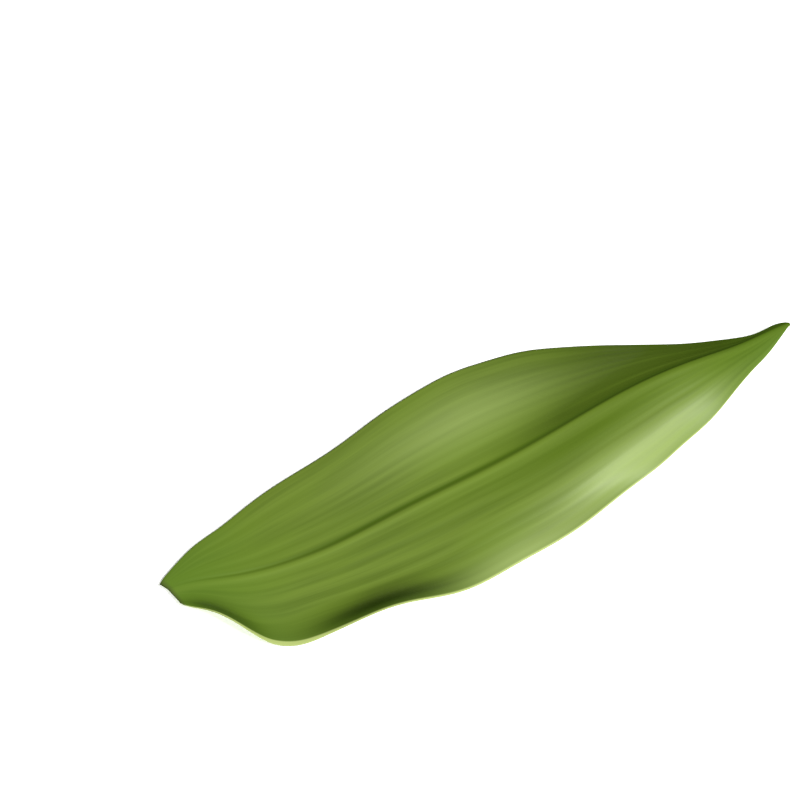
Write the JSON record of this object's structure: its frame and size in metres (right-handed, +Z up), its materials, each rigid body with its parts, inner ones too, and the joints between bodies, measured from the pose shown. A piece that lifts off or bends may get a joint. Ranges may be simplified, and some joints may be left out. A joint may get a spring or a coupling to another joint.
{
  "type": "bamboo leaf",
  "caption": "Broad lance-shaped bamboo leaf lying flat, with a cut base, a keeled midrib, a wavy near margin and an arched, twisted pointed tip.",
  "frame": {"origin": "on the surface the leaf lies on, under the middle of its bounding box", "axes": "+X along the leaf from the cut base to the tip, +Y across the blade to the far margin, +Z up from the surface"},
  "size_m": [0.2478, 0.0806, 0.0153],
  "materials": {
    "leaf_blade": "satin"
  },
  "bodies": {
    "root": {"leaf": "leaf_blade"}
  },
  "joints": []
}
